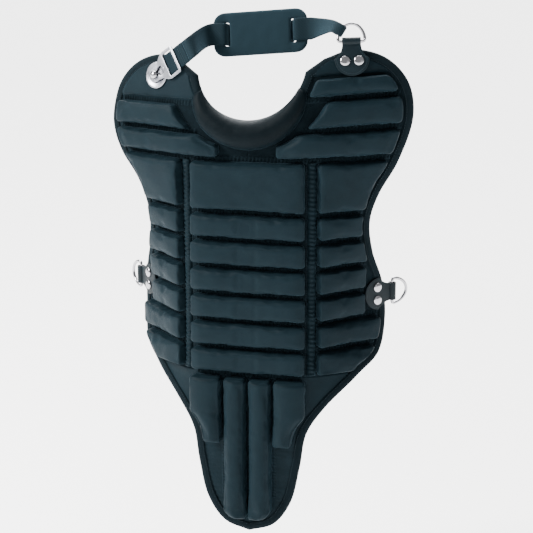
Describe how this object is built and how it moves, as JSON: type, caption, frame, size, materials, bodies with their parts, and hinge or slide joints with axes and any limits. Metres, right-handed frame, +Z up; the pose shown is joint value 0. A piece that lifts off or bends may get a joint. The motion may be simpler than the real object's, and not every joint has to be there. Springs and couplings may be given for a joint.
{
  "type": "chest protector",
  "caption": "Quilted foam catcher's chest protector with wrapping side wings, a hinged tail, a neck roll, a padded neck strap and waist rings.",
  "frame": {"origin": "middle of the back face of the centre panel, where the vest rests on the breastbone", "axes": "+Z up the body, the front of the vest faces -Y, +X to the right as seen from the front"},
  "size_m": [0.4434, 0.1469, 0.7617],
  "materials": {
    "nylon": "smooth woven nylon cover with a soft sheen over foam",
    "lining": "dull quilted mesh lining",
    "binding": "ribbed woven tape",
    "webbing": "ribbed woven webbing",
    "pad_fabric": "matte brushed cover on thin foam",
    "leather": "smooth black leather, satin",
    "steel": "nickel plated, satin",
    "dome": "polished nickel"
  },
  "bodies": {
    "vest": {"backing_centre": "lining", "backing_yoke": "lining", "chest_block": "nylon", "centre_bar_1": "nylon", "centre_bar_2": "nylon", "centre_bar_3": "nylon", "centre_bar_4": "nylon", "centre_bar_5": "nylon", "centre_bar_6": "nylon", "neck_roll": "nylon", "shoulder_bar_left_low": "nylon", "shoulder_bar_left_mid": "nylon", "shoulder_bar_right_low": "nylon", "shoulder_bar_right_mid": "nylon", "shoulder_bar_right_top": "nylon", "binding_shoulder_left": "binding", "binding_shoulder_right": "binding", "stud": "dome", "stud_washer": "steel", "hook": "steel", "webbing_fold": "webbing", "shoulder_tab": "leather", "shoulder_rivet_1": "dome", "shoulder_rivet_2": "dome"},
    "wing_left": {"backing_wing_left": "lining", "wing_block_left": "nylon", "wing_bar_left_1": "nylon", "wing_bar_left_2": "nylon", "wing_bar_left_3": "nylon", "wing_bar_left_4": "nylon", "wing_bar_left_5": "nylon", "wing_bar_left_6": "nylon", "binding_wing_left": "binding", "waist_tab_left": "leather", "waist_rivet_left_1": "dome", "waist_rivet_left_2": "dome"},
    "wing_right": {"backing_wing_right": "lining", "wing_block_right": "nylon", "wing_bar_right_1": "nylon", "wing_bar_right_2": "nylon", "wing_bar_right_3": "nylon", "wing_bar_right_4": "nylon", "wing_bar_right_5": "nylon", "wing_bar_right_6": "nylon", "binding_wing_right": "binding", "waist_tab_right": "leather", "waist_rivet_right_1": "dome", "waist_rivet_right_2": "dome"},
    "tail": {"backing_tail": "lining", "tail_tube_long_left": "nylon", "tail_tube_long_right": "nylon", "tail_tube_short_left": "nylon", "tail_tube_short_right": "nylon", "binding_tail": "binding"},
    "neck_strap": {"neck_webbing": "webbing", "neck_pad": "pad_fabric", "shoulder_ring": "steel"},
    "ring_left": {"waist_ring_left": "steel"},
    "ring_right": {"waist_ring_right": "steel"}
  },
  "joints": [
    {"name": "wing_left_fold", "type": "hinge", "parent": "vest", "child": "wing_left", "pos_m": [-0.0842, 0.003, 0], "axis": [0, 0, -1], "range_deg": [-10, 20], "stiffness_Nm_per_rad": 0.3},
    {"name": "wing_right_fold", "type": "hinge", "parent": "vest", "child": "wing_right", "pos_m": [0.0842, 0.003, 0], "axis": [0, 0, 1], "range_deg": [-10, 20], "stiffness_Nm_per_rad": 0.3},
    {"name": "tail_fold", "type": "hinge", "parent": "vest", "child": "tail", "pos_m": [0, -0.003, -0.127], "axis": [-1, 0, 0], "range_deg": [0, 40], "stiffness_Nm_per_rad": 0.5},
    {"name": "strap_swing", "type": "hinge", "parent": "vest", "child": "neck_strap", "pos_m": [0.13916, 0.0282, 0.35682], "axis": [0.9949, 0.0378, 0.0938], "range_deg": [-20, 45]},
    {"name": "ring_left_turn", "type": "hinge", "parent": "wing_left", "child": "ring_left", "pos_m": [-0.18982, 0.09547, -0.018], "axis": [0, 0, -1], "range_deg": [-80, 80]},
    {"name": "ring_right_turn", "type": "hinge", "parent": "wing_right", "child": "ring_right", "pos_m": [0.18982, 0.09547, -0.018], "axis": [0, 0, 1], "range_deg": [-80, 80]}
  ]
}
